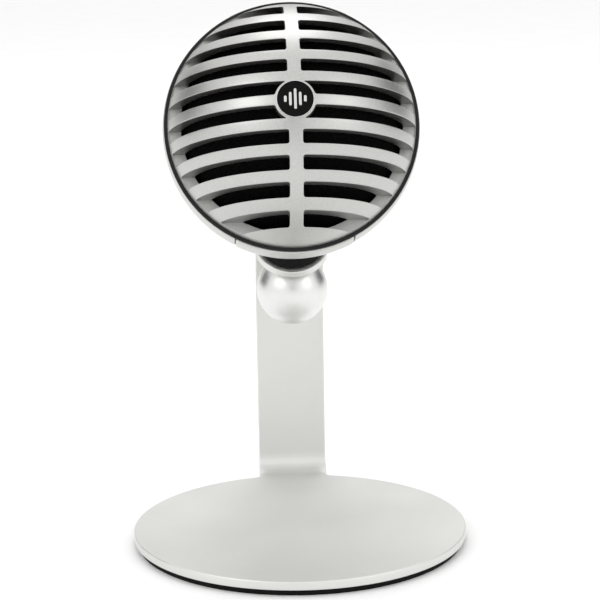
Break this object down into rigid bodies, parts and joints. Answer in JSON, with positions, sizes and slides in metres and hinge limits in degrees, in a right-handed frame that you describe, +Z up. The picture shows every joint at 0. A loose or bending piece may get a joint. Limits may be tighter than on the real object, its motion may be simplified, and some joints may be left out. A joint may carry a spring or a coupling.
{
  "type": "desktop microphone",
  "caption": "Desktop microphone: round slotted metal head on a saddle clamp with a ball knob, tilting and turning on a bent sheet stand with a round foot",
  "frame": {"origin": "centre of the round foot, on the surface the microphone stands on", "axes": "+Z up, -Y the way the microphone faces, +X to the right as seen from the front"},
  "size_m": [0.089, 0.0966, 0.1421],
  "materials": {
    "anodised_silver": "satin clear anodised sheet, fine bead-blasted grain",
    "foot_rubber": "matt black non-slip sheet",
    "saddle_rubber": "matt black moulded rubber",
    "knob_aluminium": "fine-turned satin aluminium",
    "steel_hardware": "zinc-plated steel",
    "nylon": "natural nylon",
    "silver_paint": "fine metallic silver paint on die-cast metal",
    "badge_metal": "bright plated badge rim",
    "badge_enamel": "gloss black inlay",
    "foam": "open-cell black acoustic foam",
    "seal_rubber": "dark grey moulded seal",
    "panel_plastic": "fine-textured black plastic",
    "brass_insert": "machined brass",
    "chassis_plastic": "black glass-filled nylon",
    "capsule_steel": "nickel-plated capsule can",
    "capsule_rubber": "soft black rubber",
    "lead_jacket": "black insulated lead",
    "board": "green solder mask",
    "jack_plastic": "black jack body",
    "socket_steel": "nickel-plated steel shell",
    "lamp": "clear light pipe",
    "button_rubber": "soft-touch dark grey button",
    "wheel_plastic": "ribbed black wheel"
  },
  "bodies": {
    "stand": {"stand_frame": "anodised_silver", "base_pad": "foot_rubber"},
    "saddle": {"saddle_pad": "saddle_rubber"},
    "head": {"front_grille": "silver_paint", "badge_plate": "badge_metal", "badge_inlay": "badge_enamel", "foam_windscreen": "foam", "seal_ring": "seal_rubber", "rear_shell": "silver_paint", "rear_strap": "silver_paint", "rear_panel": "panel_plastic", "mount_insert": "brass_insert", "chassis": "chassis_plastic", "capsule": "capsule_steel", "capsule_cup": "capsule_rubber", "capsule_lead": "lead_jacket", "main_board": "board", "headphone_jack": "jack_plastic", "usb_socket": "socket_steel", "mute_switch": "chassis_plastic", "volume_pot": "socket_steel", "status_lamp": "lamp", "chassis_screw_1": "steel_hardware", "chassis_screw_2": "steel_hardware", "chassis_screw_3": "steel_hardware", "board_screw_1": "steel_hardware", "board_screw_2": "steel_hardware", "board_screw_3": "steel_hardware"},
    "washer": {"clamp_washer": "nylon"},
    "knob": {"clamp_knob": "knob_aluminium", "clamp_stud": "steel_hardware"},
    "mute_button": {"mute_button": "button_rubber"},
    "volume_wheel": {"volume_wheel": "wheel_plastic"}
  },
  "joints": [
    {"name": "head_tilt", "type": "hinge", "parent": "stand", "child": "saddle", "pos_m": [0, 0.0298, 0.0534], "axis": [1, 0, 0], "range_deg": [-25, 7]},
    {"name": "head_swivel", "type": "hinge", "parent": "saddle", "child": "head", "pos_m": [0, 0.0137, 0.10912], "axis": [0, -0.2776, 0.9607], "range_deg": [-90, 90]},
    {"name": "clamp_travel", "type": "slide", "parent": "head", "child": "washer", "axis": [0, 0.2776, -0.9607], "range_m": [0, 0.00254]},
    {"name": "knob_turn", "type": "hinge", "parent": "washer", "child": "knob", "pos_m": [0, 0.027, 0.0631], "axis": [0, 0.2776, -0.9607], "range_deg": [0, 720]},
    {"name": "mute_press", "type": "slide", "parent": "head", "child": "mute_button", "axis": [0, -0.9269, 0.3754], "range_m": [0, 0.0006], "stiffness_N_per_m": 2000, "springref_m": -0.0003},
    {"name": "volume_turn", "type": "hinge", "parent": "head", "child": "volume_wheel", "pos_m": [0.0056, 0.04415, 0.10067], "axis": [0, 0.9269, -0.3754], "range_deg": [0, 270]}
  ],
  "couplings": [
    {"joint": "knob_turn", "follows": "clamp_travel", "rad_per_m": 4947.4}
  ]
}
